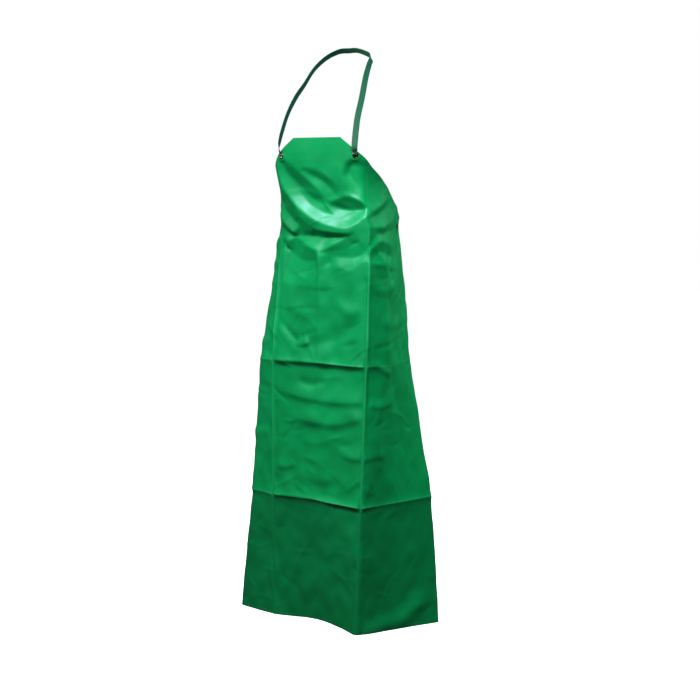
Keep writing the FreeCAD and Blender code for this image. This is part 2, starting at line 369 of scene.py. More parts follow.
# Ridges and valleys of the crumpled bib: u, v and height out of the cloth. Facets fill between them.
CRUMPLES = [
    [(-200, 1160, 0), (-102, 1156, 0), (-50, 1152, 0), (-12, 1147, 0), (32, 1144, 0), (66, 1148, 0),
     (98, 1152, 0), (200, 1160, -2)],
    # valley from the right-hand eyelet to the middle, with its shaded side above it
    [(-92, 1150, 0), (-64, 1126, 0), (-28, 1094, -1), (2, 1066, -4), (20, 1040, -9)],
    [(-104, 1138, -4), (-86, 1106, -11), (-52, 1072, -14), (-18, 1046, -12), (20, 1040, -9)],
    # short valley down the middle
    [(-34, 1130, 0), (8, 1116, 0), (40, 1092, -1), (64, 1068, -3)],
    [(-42, 1120, -2), (-10, 1104, -7), (18, 1088, -10), (42, 1062, -9)],
    # the hollow shaped like an eye
    [(20, 1040, -9), (50, 1052, -5), (80, 1058, -2), (110, 1050, -3), (140, 1034, -6)],
    [(20, 1040, -9), (50, 1030, -18), (80, 1026, -20), (112, 1027, -16), (140, 1034, -6)],
    # edge of shade under the left-hand eyelet, and the ridge below it
    [(98, 1152, 0), (79, 1140, 0), (69, 1120, 1), (64, 1098, 1), (64, 1068, -3)],
    [(67, 1106, 0), (88, 1066, -6), (128, 1041, -8)],
    [(104, 1144, -3), (90, 1131, -8), (82, 1118, -10), (86, 1104, -11), (108, 1076, -11), (142, 1050, -10)],
    [(142, 1050, -10), (148, 1080, -11), (140, 1112, -9), (126, 1142, -2)],
    [(98, 1152, 0), (126, 1142, -2), (152, 1129, -4), (180, 1112, -5), (215, 1092, -4)],
    # the long crescent: its hollow, then its ridge
    [(-86, 1106, -11), (-62, 1064, -11), (-32, 1036, -9), (-4, 1022, -8), (40, 1010, -9), (80, 1006, -9),
     (115, 1016, -8), (140, 1034, -6)],
    [(-120, 1118, 3), (-98, 1072, 8), (-62, 1030, 9), (-16, 1002, 8), (34, 986, 6), (76, 980, 5),
     (110, 996, 2), (141, 1018, -3)],
    [(-62, 1010, 8), (-16, 980, 6), (34, 970, 5), (76, 967, 4), (106, 976, 1)],
    # left-hand corner of the waist
    [(-136, 1056, -3), (-102, 1008, -6), (-64, 982, -3), (-30, 972, 1)],
    [(-141, 1016, 0), (-120, 994, 6), (-92, 968, 5)],
    [(-141, 982, -3), (-118, 972, -2), (-98, 961, -7)],
    # waist fold: a sharp dark line and the bright triangle below it
    [(-98, 961, -7), (-50, 961, -10), (0, 960, -10), (50, 960, -9), (84, 962, -3)],
    [(-98, 961, -7), (-50, 942, 1), (0, 926, 5), (40, 942, 2), (84, 962, -3)],
    [(-138, 950, -1), (-112, 950, 3), (-124, 926, 1)],
    [(-134, 944, -3), (-104, 920, -11), (-62, 901, -12), (-14, 898, -4)],
    [(12, 920, 2), (60, 912, -7), (110, 914, -9), (141, 938, -8)],
    [(26, 896, -4), (60, 885, 0), (92, 880, 1), (122, 902, 0), (141, 915, -4)],
    [(0, 926, 5), (0, 900, 5), (0, 860, 3)],
    # folds in the left-hand side panel, spreading from the crease
    [(141, 1016, -3), (178, 1030, 3), (222, 1044, 3), (256, 1054, 0)],
    [(142, 1006, -5), (180, 1012, -6), (226, 1024, -5), (264, 1034, -1)],
    [(141, 984, -3), (178, 982, 3), (220, 984, 4), (280, 996, 1)],
    [(141, 938, -8), (178, 966, -4), (216, 966, -5), (272, 972, -2)],
    [(146, 930, -2), (184, 950, 3), (226, 946, 3), (290, 930, 0)],
    [(148, 914, -4), (190, 924, -4), (240, 916, -4), (300, 904, 0)],
    [(150, 890, 0), (200, 896, 3), (250, 886, 2), (310, 880, 0)],
    [(-330, 1040, 0), (-330, 900, 0), (-150, 850, 0), (-70, 840, 0), (0, 830, 2), (70, 840, 0), (150, 850, 0),
     (335, 900, 0), (335, 1010, 0), (262, 1070, -2), (215, 1092, -4)],
]
CRUMPLE_BLUR = 2.6
RASTER = 2.0


def crumple_raster():
    """Heights of the facets between the crumple lines, softened, on an even raster of the flat pattern."""
    places, heights, edges = [], [], []
    for line in CRUMPLES:
        before = None
        for pu, pv, ph in rounded(line, 5 * (len(line) - 1) + 1).round(3).tolist():
            if (pu, pv) not in places:
                places.append((pu, pv))
                heights.append(ph)
            at = places.index((pu, pv))
            if before is not None:
                edges.append((before, at))
            before = at
    verts, _, faces, sources, _, _ = delaunay_2d_cdt([Vector(p) for p in places], edges, [], 0, 1e-4)
    spread = np.array(places)
    height_of = []
    for vert, found in zip(verts, sources):
        nearest = np.hypot(*(spread - np.array(vert)).T).argmin()
        height_of.append(heights[found[0] if found else nearest])
    ru = np.arange(-400, 401, RASTER)
    rv = np.arange(780, 1201, RASTER)
    gu, gv = np.meshgrid(ru, rv)
    out = np.zeros_like(gu)
    for a, b, c in faces:
        (au, av), (bu, bv), (cu, cv) = verts[a], verts[b], verts[c]
        area = (bu - au) * (cv - av) - (cu - au) * (bv - av)
        if abs(area) < 1e-6:
            continue
        wb = ((gu - au) * (cv - av) - (cu - au) * (gv - av)) / area
        wc = ((bu - au) * (gv - av) - (gu - au) * (bv - av)) / area
        inside = (wb >= -1e-9) & (wc >= -1e-9) & (wb + wc <= 1 + 1e-9)
        total = height_of[a] * (1 - wb - wc) + height_of[b] * wb + height_of[c] * wc
        out = np.where(inside, total, out)
    reach = int(3 * CRUMPLE_BLUR / RASTER)
    kernel = np.exp(-0.5 * (np.arange(-reach, reach + 1) * RASTER / CRUMPLE_BLUR) ** 2)
    kernel /= kernel.sum()
    out = np.apply_along_axis(np.convolve, 1, out, kernel, mode="same")
    out = np.apply_along_axis(np.convolve, 0, out, kernel, mode="same")
    return ru, rv, out


def crumpled(u, v):
    ru, rv, table = crumple_raster()
    x = np.clip((u - ru[0]) / RASTER, 0, len(ru) - 1.001)
    y = np.clip((v - rv[0]) / RASTER, 0, len(rv) - 1.001)
    i, j = y.astype(int), x.astype(int)
    s, t = y - i, x - j
    low = table[i, j] * (1 - t) + table[i, j + 1] * t
    high = table[i + 1, j] * (1 - t) + table[i + 1, j + 1] * t
    return low * (1 - s) + high * s


# Creases of the folded-away cloth, and softer folds beside them
FOLDS = [
    fold([(-380, 312), (380, 308)], 3.0, 9, 6, (0, 0), sharp=True),
    fold([(-146, 311), (-60, 313), (60, 309), (210, 310)], 3.4, 12, 6, (0.05, 0.3), sharp=True),
    fold([(20, 303), (100, 301), (220, 303)], -2.2, 5, 9, (0.3, 0.4)),
    fold([(-380, 650), (250, 650)], 2.0, 8, 6, (0, 0.35), sharp=True),
    fold([(-200, 652), (-60, 653), (60, 649), (196, 651)], 3.0, 11, 6, (0.2, 0.2), sharp=True),
    fold([(-146, 641), (0, 640), (150, 640)], -1.6, 5, 10, (0.1, 0.1)),
    fold([(-146, 652), (150, 650)], 2.5, 44, 10, (0.1, 0.1)),
    fold([(-142, 20), (-142, 930)], 2.6, 7, 4, (0.02, 0.1), sharp=True),
    fold([(-135, 330), (-135, 900)], -1.6, 5, 8, (0.05, 0.1)),
    fold([(142, 20), (142, 1030)], 2.2, 5, 9, (0.02, 0.1), sharp=True),
    fold([(134, 330), (134, 640)], -1.8, 5, 5, (0.1, 0.1)),
    fold([(134, 670), (134, 870)], -1.8, 5, 5, (0.1, 0.1)),
    fold([(150, 330), (150, 880)], -1.5, 4, 6, (0.1, 0.1)),
    fold([(0, 560), (2, 700), (0, 870)], 1.8, 8, 10, (0.3, 0.2), sharp=True),
    fold([(2, 760), (0, 850), (0, 930)], 2.6, 5, 10, (0.4, 0.1), sharp=True),
    fold([(-70, 608), (-20, 594), (30, 608)], -3.0, 12, 9),
    fold([(-142, 584), (-70, 569), (0, 560), (70, 560), (150, 568)], 5.2, 26, 11, (0.25, 0.12)),
    fold([(-138, 528), (-80, 516), (0, 505), (70, 508), (148, 535)], 6.0, 30, 13, (0.45, 0.12)),
    fold([(-60, 460), (0, 452), (60, 466)], 2.0, 20, 12),
    fold([(56, 440), (100, 428), (150, 429), (236, 431)], 3.0, 22, 8, (0.3, 0.3)),
    fold([(-130, 392), (-100, 384), (-60, 396)], 2.6, 14, 8),
    fold([(-40, 372), (20, 360), (90, 380)], 2.2, 18, 12),
    fold([(150, 664), (190, 640), (232, 622)], 3.0, 10, 7),
    fold([(-142, 738), (-100, 704), (-60, 672)], 2.0, 10, 16, (0.2, 0.1)),
    fold([(-136, 760), (-90, 720), (-54, 692), (-40, 684)], -2.2, 9, 6, (0.4, 0.1)),
    fold([(-74, 700), (-50, 692), (-22, 702)], 4.0, 14, 5),
    fold([(-44, 690), (20, 704), (70, 722), (130, 760)], -3.6, 24, 16, (0.2, 0.3)),
    fold([(-110, 800), (-60, 770), (-20, 762)], 2.4, 20, 14),
    fold([(40, 810), (90, 780), (136, 790)], 2.6, 16, 14),
    fold([(156, 340), (178, 480), (205, 660), (206, 860)], 3.0, 30, 24, (0.15, 0.15)),
    fold([(150, 850), (200, 830), (300, 842)], 3.0, 20, 12, (0.2, 0.4)),
    fold([(170, 760), (250, 742), (350, 756)], 2.5, 20, 12, (0.2, 0.3)),
    fold([(150, 560), (190, 552), (260, 560)], 2.6, 16, 8, (0.1, 0.4)),
    fold([(150, 6), (220, 14), (292, 30), (346, 82)], 6.0, 22, 20, (0.1, 0.2)),
    fold([(-150, 960), (-200, 930), (-250, 940)], 4.0, 12, 8, (0.1, 0.4)),
    fold([(-150, 900), (-210, 880), (-280, 885)], 3.0, 12, 10, (0.1, 0.4)),
    fold([(-150, 700), (-240, 690), (-340, 700)], 3.0, 16, 12, (0.1, 0.3)),
    fold([(-150, 470), (-230, 460), (-330, 470)], 3.0, 16, 12, (0.1, 0.3)),
]


def dents(u, v, count=230):
    """Short shallow dents and ridges scattered over the cloth."""
    total = np.zeros_like(u)
    for _ in range(count):
        at_u, at_v = rng.uniform(-370, 370), rng.uniform(20, 1090)
        turn = rng.normal(0, 0.5) if rng.random() < 0.7 else rng.uniform(0, math.pi)
        length, width = rng.uniform(12, 45), rng.uniform(3.5, 8)
        height = rng.uniform(0.4, 1.6) * (1 if rng.random() < 0.5 else -1) * (0.6 if at_v < 310 else 1.0)
        du, dv = u - at_u, v - at_v
        along = du * math.cos(turn) + dv * math.sin(turn)
        across = dv * math.cos(turn) - du * math.sin(turn) + rng.uniform(-0.004, 0.004) * along ** 2
        total += height * np.exp(-(along / length) ** 2 - (across / width) ** 2)
    return total


def lean(u, v):
    """The front panel hollows below the lowest crease and swells above it, between its side creases."""
    depth = np.interp(v, [0, 302, 318, 600, 700, 1200], [-9, 9, 9, 0, 0, 0])
    return depth * np.maximum(0, 1 - (u / CREASE) ** 2)


def near_hinge(u, v):
    """1 along the side panels' creases, where they turn, and 0 away from them."""
    return np.exp(-((np.abs(u) - CREASE) / 5.0) ** 4) * (1 - smooth((v - 650) / 60))


def displacement(u, v):
    """How far each point stands out of the undisturbed hanging cloth."""
    h = (ripple(u, v, 170, 1.1) + ripple(u, v, 75, 0.75)) * smooth((LENGTH - v) / 250)
    h = h + crumpled(u, v) * smooth((1158 - v) / 26)
    h = h + (ripple(u, v, 42, 0.42) + dents(u, v)) * smooth((LENGTH - v) / 160)
    for settings in FOLDS:
        h = h + fold_height(u, v, *settings)
    h = (h + lean(u, v)) * (1 - near_hinge(u, v))
    curled = 9 * np.exp(-((u + HALF_WIDTH) ** 2 + v ** 2) / 18 ** 2)
    return h - curled


# ---- surface arrays

columns = grid_columns()
rows = grid_rows()
grid_v = np.repeat(rows[:, None], len(columns), axis=1)
grid_u = to_u(columns[None, :], grid_v)
on_front = (columns[:-1] >= -CREASE - 1e-6) & (columns[1:] <= CREASE + 1e-6)
cells = np.ones((len(rows) - 1, len(columns) - 1), bool)
cells[rows[:-1] >= BIB_SIDE - 1e-6] &= on_front[None, :]
# every cell's corners, in order round it
CELL_CORNERS = [np.s_[:-1, :-1], np.s_[:-1, 1:], np.s_[1:, 1:], np.s_[1:, :-1]]
middle_u = sum(grid_u[corner] for corner in CELL_CORNERS) / 4
middle_v = (grid_v[:-1, :-1] + grid_v[1:, 1:]) / 2
for eu, ev in EYELETS.values():
    for side in (-1, 1):
        hole = np.hypot(middle_u - side * eu, middle_v - ev) < HOLE_R
        cells &= ~hole
        inside, beyond = np.zeros(grid_u.shape, bool), np.zeros(grid_u.shape, bool)
        for corner in CELL_CORNERS:
            inside[corner] |= hole
            beyond[corner] |= ~hole
        rim = inside & beyond
        du, dv = grid_u - side * eu, grid_v - ev
        pull = HOLE_R / np.maximum(np.hypot(du, dv), 1e-6)
        grid_u = np.where(rim, side * eu + du * pull, grid_u)
        grid_v = np.where(rim, ev + dv * pull, grid_v)


def hanging_points(u, v):
    """Points of the undisturbed hanging surface, in millimetres in the frame."""
    line, x, y = hung(rows)
    px = np.array([np.interp(u[k], line, x[k]) for k in range(len(v))])
    py = np.array([np.interp(u[k], line, y[k]) for k in range(len(v))])
    out_to = np.abs(u) / CREASE
    share = smooth(out_to) + (np.clip(out_to, 0, 1) - smooth(out_to)) * np.clip(v / 310, 0, 1)
    drop = CREASE_DROP * share * np.maximum(0, 1 - v / 1000)
    return np.stack([px, py, v - drop], axis=-1) + CENTRE


def normals_of(points, mask):
    """Unit normals out of the cloth's front face, from the cells in mask."""
    a, b, c, d = (points[corner] for corner in CELL_CORNERS)
    face = np.cross(b - d, c - a) * mask[..., None]
    total = np.zeros_like(points)
    for corner in CELL_CORNERS:
        total[corner] += face
    length = np.linalg.norm(total, axis=-1, keepdims=True)
    return total / np.maximum(length, 1e-9)


surface = hanging_points(grid_u, grid_v)
normals = normals_of(surface, cells)
surface = surface + normals * displacement(grid_u, grid_v)[..., None]
for side, (point, direction) in HINGES.items():
    crease = surface[:, np.abs(columns - side * CREASE).argmin()]
    off = crease - point
    off = off - (off @ np.array(direction))[:, None] * np.array(direction)
    near = np.exp(-((side * grid_u - CREASE) / 40) ** 2) * (1 - smooth((grid_v - 610) / 80))
    surface = surface - off[:, None, :] * near[..., None]
for name, (origin, out) in EYELET_PLACES.items():
    kind, word = name.split("_")
    eu, ev = EYELETS[kind]
    side = 1 if word == "left" else -1
    distance = np.hypot(grid_u - side * eu, grid_v - ev)
    at = np.unravel_index(distance.argmin(), distance.shape)
    pulled = 1 - smooth((distance - 14) / 46)
    surface = surface + (np.array(origin) - surface[at]) * pulled[..., None]
    pressed = 1 - smooth((distance - 9) / 8)
    out = np.array(out)
    surface = surface - out * (((surface - origin) @ out) * pressed)[..., None]
turned = normals_of(surface, cells)
normals = turned * np.sign((turned * normals).sum(-1, keepdims=True) + 1e-9)


def on_surface(u, v):
    """Point and normal at flat-pattern places, in millimetres."""
    c = to_c(u, v)
    i = np.clip(np.searchsorted(rows, v) - 1, 0, len(rows) - 2)
    j = np.clip(np.searchsorted(columns, c) - 1, 0, len(columns) - 2)
    s = ((v - rows[i]) / (rows[i + 1] - rows[i]))[:, None]
    t = np.clip((c - columns[j]) / (columns[j + 1] - columns[j]), 0, 1)[:, None]
    out = []
    for field in (surface, normals):
        low = field[i, j] * (1 - t) + field[i, j + 1] * t
        high = field[i + 1, j] * (1 - t) + field[i + 1, j + 1] * t
        out.append(low * (1 - s) + high * s)
    out[1] /= np.linalg.norm(out[1], axis=1, keepdims=True)
    return out


# ---- materials

def new_material(name):
    """A material, its node tree, its shader, and its object and flat-pattern coordinates."""
    material = bpy.data.materials.new(name)
    material.use_nodes = True
    tree = material.node_tree
    place = tree.nodes.new("ShaderNodeTexCoord")
    return material, tree, tree.nodes["Principled BSDF"], place.outputs["Object"], place.outputs["UV"]


def node(tree, kind, **inputs):
    made = tree.nodes.new(kind)
    for key, value in inputs.items():
        made.inputs[key.replace("_", " ")].default_value = value
    return made


def pattern(tree, place, kind="Noise", bands=None, **inputs):
    """A noise or wave pattern over the given coordinates."""
    made = node(tree, "ShaderNodeTex" + kind, **inputs)
    if bands:
        made.bands_direction = bands
    tree.links.new(place, made.inputs["Vector"])
    return made.outputs["Fac"]


def ramp(tree, source, low, high):
    """Colours between two stops. Each is a place and a colour, or a place and one grey."""
    made = tree.nodes.new("ShaderNodeValToRGB")
    tree.links.new(source, made.inputs["Fac"])
    for element, (at, colour) in zip(made.color_ramp.elements, (low, high)):
        element.position = at
        element.color = (*colour, 1) if isinstance(colour, tuple) else (colour, colour, colour, 1)
    return made


def ranged(tree, source, start, end, low, high):
    """Low up to start, high from end on, and even steps between."""
    made = node(tree, "ShaderNodeMapRange", From_Min=start, From_Max=end, To_Min=low, To_Max=high)
    tree.links.new(source, made.inputs["Value"])
    return made.outputs["Result"]


def bumped(tree, height, strength, distance, under=None):
    made = node(tree, "ShaderNodeBump", Strength=strength, Distance=distance)
    tree.links.new(height, made.inputs["Height"])
    if under is not None:
        tree.links.new(under, made.inputs["Normal"])
    return made.outputs["Normal"]


def maths(tree, operation, *values):
    made = tree.nodes.new("ShaderNodeMath")
    made.operation = operation
    for slot, value in zip(made.inputs, values):
        if isinstance(value, float):
            slot.default_value = value
        else:
            tree.links.new(value, slot)
    return made.outputs[0]


def crease_highlight_lines(tree, across, up, cloud):
    """How much each point gets the paler, bluer line painted along the storage creases as a painted highlight
    on their ridges, in patches, and none below the lowest crease.
    """
    nearest = None
    for value, line in ((maths(tree, "ABSOLUTE", across), CREASE), (up, LOW_CREASE), (up, HIGH_CREASE)):
        away = maths(tree, "ABSOLUTE", maths(tree, "SUBTRACT", value, line * MM))
        nearest = away if nearest is None else maths(tree, "MINIMUM", nearest, away)
    on_line = ranged(tree, nearest, 0.0, 0.0028, 0.6, 0.0)
    above = ranged(tree, up, 0.300, 0.308, 0.0, 1.0)
    return maths(tree, "MULTIPLY", maths(tree, "MULTIPLY", on_line, above), cloud)


def coated_cloth(name, dark, light, roughness):
    """Waterproof coating over a plain weave: cloudy colour, a painted highlight along the creases, painted
    shade below the lowest crease, uneven gloss, faint threads.
    """
    material, tree, shader, place, flat_place = new_material(name)
    link = tree.links.new
    split = tree.nodes.new("ShaderNodeSeparateXYZ")
    link(flat_place, split.inputs["Vector"])
    cloud = pattern(tree, place, Scale=9.0, Detail=4.0, Roughness=0.6)
    painted_crease_highlight = tree.nodes.new("ShaderNodeMix")
    painted_crease_highlight.data_type = "RGBA"
    link(crease_highlight_lines(tree, split.outputs["X"], split.outputs["Y"], cloud), painted_crease_highlight.inputs[0])
    link(ramp(tree, cloud, (0.3, dark), (0.7, light)).outputs["Color"], painted_crease_highlight.inputs[6])
    # paler, bluer colour painted along the creases: a painted highlight
    painted_crease_highlight.inputs[7].default_value = (0.03, light[1] * 1.5, light[2] * 2.0, 1)
    # painted shade: below the lowest crease the colour is scaled to 0.72, as if that panel were turned away
    # from the light
    painted_low_shade = tree.nodes.new("ShaderNodeVectorMath")
    painted_low_shade.operation = "SCALE"
    link(painted_crease_highlight.outputs[2], painted_low_shade.inputs["Vector"])
    link(ranged(tree, split.outputs["Y"], 0.306, 0.312, 0.72, 1.0), painted_low_shade.inputs["Scale"])
    link(painted_low_shade.outputs["Vector"], shader.inputs["Base Color"])
    patch = pattern(tree, place, Scale=22.0, Detail=3.0)
    gloss = ramp(tree, patch, (0.3, roughness[0]), (0.7, roughness[1]))
    link(gloss.outputs["Color"], shader.inputs["Roughness"])
    threads = [pattern(tree, flat_place, "Wave", bands, Scale=180.0, Distortion=0.6, Detail=1.0,
                       Detail_Scale=1.5) for bands in "XY"]
    fine = bumped(tree, maths(tree, "MULTIPLY", *threads), 0.25, 0.0001)
    soft = bumped(tree, pattern(tree, place, Scale=60.0, Detail=2.0), 0.12, 0.0015, fine)
    link(soft, shader.inputs["Normal"])
    shader.inputs["Specular IOR Level"].default_value = 0.56
    shader.inputs["Specular Tint"].default_value = (0.5, 0.72, 1.0, 1)
    return material


def woven_tape(name):
    """Flat tape: long warp streaks, paler and darker along them, and a slanting weave."""
    material, tree, shader, _, flat_place = new_material(name)
    link = tree.links.new
    stretch = node(tree, "ShaderNodeMapping", Scale=(900.0, 14.0, 1.0))
    link(flat_place, stretch.inputs["Vector"])
    streak = pattern(tree, stretch.outputs["Vector"], Scale=1.0, Detail=3.0, Roughness=0.55)
    colour = ramp(tree, streak, (0.25, (0.001, 0.045, 0.022)), (0.8, (0.006, 0.110, 0.058)))
    colour.color_ramp.elements.new(0.55).color = (0.003, 0.075, 0.038, 1)
    link(colour.outputs["Color"], shader.inputs["Base Color"])
    weave = pattern(tree, flat_place, "Wave", "DIAGONAL", Scale=330.0, Distortion=1.2, Detail=1.0)
    grain = bumped(tree, streak, 0.3, 0.0002, bumped(tree, weave, 0.3, 0.0002))
    link(grain, shader.inputs["Normal"])
    link(ramp(tree, streak, (0.3, 0.6), (0.7, 0.75)).outputs["Color"], shader.inputs["Roughness"])
    return material


def dull_metal(name, dark, light):
    """Plated eyelet metal, tarnished in patches and finely scratched."""
    material, tree, shader, place, _ = new_material(name)
    link = tree.links.new
    patch = pattern(tree, place, Scale=420.0, Detail=4.0)
    link(ramp(tree, patch, (0.35, dark), (0.65, light)).outputs["Color"], shader.inputs["Base Color"])
    link(ramp(tree, patch, (0.3, 0.45), (0.7, 0.28)).outputs["Color"], shader.inputs["Roughness"])
    scratch = pattern(tree, place, Scale=2600.0, Detail=2.0)
    link(bumped(tree, scratch, 0.12, 0.0001), shader.inputs["Normal"])
    shader.inputs["Metallic"].default_value = 1.0
    return material


def sewing_thread(name):
    """Spun thread, a little lighter and darker along its twist."""
    material, tree, shader, place, _ = new_material(name)
    twist = pattern(tree, place, Scale=900.0, Detail=2.0)
    colour = ramp(tree, twist, (0.35, (0.004, 0.16, 0.062)), (0.65, (0.02, 0.27, 0.115)))
    tree.links.new(colour.outputs["Color"], shader.inputs["Base Color"])
    shader.inputs["Roughness"].default_value = 0.7
    return material


front_cloth = coated_cloth("coated_cloth_front", (0.0, 0.225, 0.055), (0.0, 0.285, 0.078), (0.36, 0.48))
back_cloth = coated_cloth("coated_cloth_back", (0.002, 0.19, 0.06), (0.004, 0.225, 0.072), (0.5, 0.6))
tape_cloth = woven_tape("strap_tape")
brass = dull_metal("eyelet_metal", (0.11, 0.06, 0.04), (0.30, 0.18, 0.12))
thread = sewing_thread("sewing_thread")


# ---- cloth pieces

def make_mesh(name, points, faces, materials, face_material=None, loop_normals=None, uvs=None):
    """A smooth mesh object from points in millimetres."""
    mesh = bpy.data.meshes.new(name)
    mesh.from_pydata((points * MM).tolist(), [], faces)
    for material in materials:
        mesh.materials.append(material)
    if face_material is not None:
        mesh.polygons.foreach_set("material_index", np.array(face_material, np.int32))
    if uvs is not None:
        layer = mesh.uv_layers.new(name="UVMap")
        loops = np.zeros(len(mesh.loops), np.int32)
        mesh.loops.foreach_get("vertex_index", loops)
        layer.data.foreach_set("uv", uvs[loops].astype(np.float32).ravel())
    mesh.polygons.foreach_set("use_smooth", np.ones(len(mesh.polygons), bool))
    if loop_normals is not None:
        mesh.normals_split_custom_set(loop_normals.tolist())
    made = bpy.data.objects.new(name, mesh)
    bpy.context.scene.collection.objects.link(made)
    return made


def band_faces(rings, count):
    """Faces from each ring of count points to the next."""
    return [[a * count + n, a * count + (n + 1) % count, b * count + (n + 1) % count, b * count + n]
            for a, b in zip(rings, rings[1:]) for n in range(count)]


def lengths_to(points):
    """Distance along a line of points to each of them."""
    return np.concatenate([[0], np.cumsum(np.linalg.norm(np.diff(points, axis=0), axis=1))])


def cloth_piece(name, wanted):
    """Front and back faces over the cells between the wanted columns, closed round their rim."""
    used = cells & wanted
    numbers = np.arange(grid_u.size).reshape(grid_u.shape)
    corners = np.stack([numbers[corner][used] for corner in CELL_CORNERS], axis=1)
    flat_points = surface.reshape(-1, 3)
    # columns that meet in one point at a corner of the bib are one vertex
    keys, merged = {}, {}
    for k in np.unique(corners):
        merged[k] = keys.setdefault(tuple(np.round(flat_points[k], 3)), k)
    order = {k: n for n, k in enumerate(sorted(set(merged.values())))}
    ids = np.array(sorted(order))
    count = len(ids)
    front, back, edges = [], [], {}
    for quad in corners.tolist():
        ring = []
        for k in quad:
            k = order[merged[k]]
            if not ring or (ring[-1] != k and ring[0] != k):
                ring.append(k)
        if len(ring) < 3:
            continue
        front.append(ring)
        back.append([k + count for k in ring[::-1]])
        for a, b in zip(ring, ring[1:] + ring[:1]):
            if edges.pop((b, a), None) is None:
                edges[(a, b)] = True
    rim = [[b, a, a + count, b + count] for a, b in edges]
    u, v = grid_u.reshape(-1)[ids], grid_v.reshape(-1)[ids]
    normal = normals.reshape(-1, 3)[ids]
    hem = smooth((HEM_WIDTH - edge_distance(u, v)) / 2.5 + 0.5)
    stitch_line = np.exp(-((edge_distance(u, v) - STITCH_FROM_EDGE) / 1.3) ** 2)
    thick_front = CLOTH / 2 - 0.12 * stitch_line
    thick_back = CLOTH / 2 + HEM_EXTRA * hem - 0.12 * stitch_line
    base = flat_points[ids]
    points = np.vstack([base + normal * thick_front[:, None], base - normal * thick_back[:, None]])
    faces = front + back + rim
    both = np.vstack([normal, -normal])
    loop_normals = [both[k] for face in front + back for k in face]
    for face in rim:
        a, b, c, _ = (points[k] for k in face)
        flat = np.cross(b - a, c - b)
        flat /= max(np.linalg.norm(flat), 1e-12)
        loop_normals += [flat] * 4
    face_material = [0] * len(front) + [1] * len(back) + [0] * len(rim)
    uvs = np.stack([u, v], axis=1) * MM
    return make_mesh(name, points, faces, [front_cloth, back_cloth], face_material,
                     np.array(loop_normals), np.vstack([uvs, uvs]))


on_left = columns[:-1] >= CREASE - 1e-6
on_right = columns[1:] <= -CREASE + 1e-6
front = cloth_piece("apron_front", on_front)
left = cloth_piece("apron_side_left", on_left)
right = cloth_piece("apron_side_right", on_right)
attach(front, "apron")
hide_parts("front_sheet")
for piece, body, cad, mask in ((left, "left_panel", "side_panel_left", on_left),
                               (right, "right_panel", "side_panel_right", on_right)):
    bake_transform(piece)
    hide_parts(cad)


# ---- eyelets and washers

EYELET_PROFILE = [(4.5, -1.45), (4.5, 0.9), (4.62, 1.25), (4.95, 1.48), (5.5, 1.55), (6.3, 1.47), (7.1, 1.18),
                  (7.6, 0.75), (7.78, 0.32), (7.5, 0.27), (6.8, 0.3), (5.0, 0.3), (5.0, -1.28), (5.6, -1.3),
                  (6.1, -1.36), (6.2, -1.6), (5.85, -1.84), (5.2, -1.9), (4.7, -1.78)]
WASHER_PROFILE = [(5.1, -0.74), (7.7, -0.74), (7.95, -0.82), (8.0, -0.98), (7.85, -1.14), (7.4, -1.22),
                  (5.6, -1.27), (5.1, -1.24)]


def ring_frame(place):
    """An eyelet's middle, and the ways across, up and out of the cloth there."""
    origin, out = (np.array(part, float) for part in EYELET_PLACES[place])
    up = np.array([0.0, 0.0, 1.0])
    return origin, np.cross(out, up), up, out


def turned_ring(name, place, profile, count=40):
    """A profile of (radius, height over the cloth) turned round an eyelet's axis."""
    origin, across, up, out = ring_frame(place)
    angles = np.arange(count) * 2 * math.pi / count
    around = np.cos(angles)[:, None] * across + np.sin(angles)[:, None] * up
    points = np.vstack([origin + around * r + out * h for r, h in profile])
    ring = make_mesh(name, points, band_faces([*range(len(profile)), 0], count), [brass])
    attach(ring, "apron")
    return ring


for place in EYELET_PLACES:
    for kind, profile in (("eyelet", EYELET_PROFILE), ("washer", WASHER_PROFILE)):
        ring = turned_ring(kind + "_ring_" + place, place, profile)
        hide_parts(kind + "_" + place)


# ---- tape: strap and knots

TAPE_WIDTH = 15.0
TAPE = 1.3
# The strap's route from the left eyelet round the neck to the right one: a point, and its face
ROUTE = [
    ((102, -218, -243), (0.45, -0.89, 0.00)), ((93, -186, -182), (0.50, -0.86, 0.05)),
    ((84, -145, -132), (0.56, -0.83, 0.10)), ((72, -99, -78), (0.68, -0.72, 0.14)),
    ((62, -60, -43), (0.82, -0.53, 0.20)), ((55, -34, -27), (0.90, -0.32, 0.26)),
    ((48, -22.5, -18.6), (0.72, 0.60, 0.34)), ((36, -12, -11), (0.40, 0.82, 0.38)),
    ((0, 0.9, 0.9), (0.00, 0.80, 0.60)), ((-22, -3.6, 0.9), (-0.40, 0.72, 0.57)),
    ((-43, -19.5, -2.0), (-0.72, 0.46, 0.52)),
    ((-61, -54, -20), (-0.93, 0.12, 0.34)), ((-72, -98, -51), (-0.98, -0.05, 0.20)),
    ((-80, -136, -92), (-0.99, 0.02, 0.14)), ((-88, -165, -124), (-0.98, 0.14, 0.13)),
    ((-95, -194, -166), (-0.99, 0.06, 0.10)), ((-100, -215, -212), (-0.98, 0.12, 0.05)),
    ((-103, -222, -238), (-0.97, 0.10, 0.00)), ((-103.5, -222.5, -252), (-0.80, -0.58, 0.00)),
]


def through_eyelet(place):
    """The gathered tape from inside an eyelet to just above it: place, face, width, thickness, pleating."""
    origin, _, up, out = ring_frame(place)
    slant = (out - up) / math.sqrt(2)
    return [(origin - out * 1.0, -up, 5.6, 1.25, 1.0), (origin + out * 1.8, -up, 5.6, 1.25, 1.0),
            (origin + out * 3.5 + up * 1.6, slant, 7.2, 1.2, 0.8),
            (origin + out * 4.1 + up * 8, out, 10.6, 1.2, 0.45)]


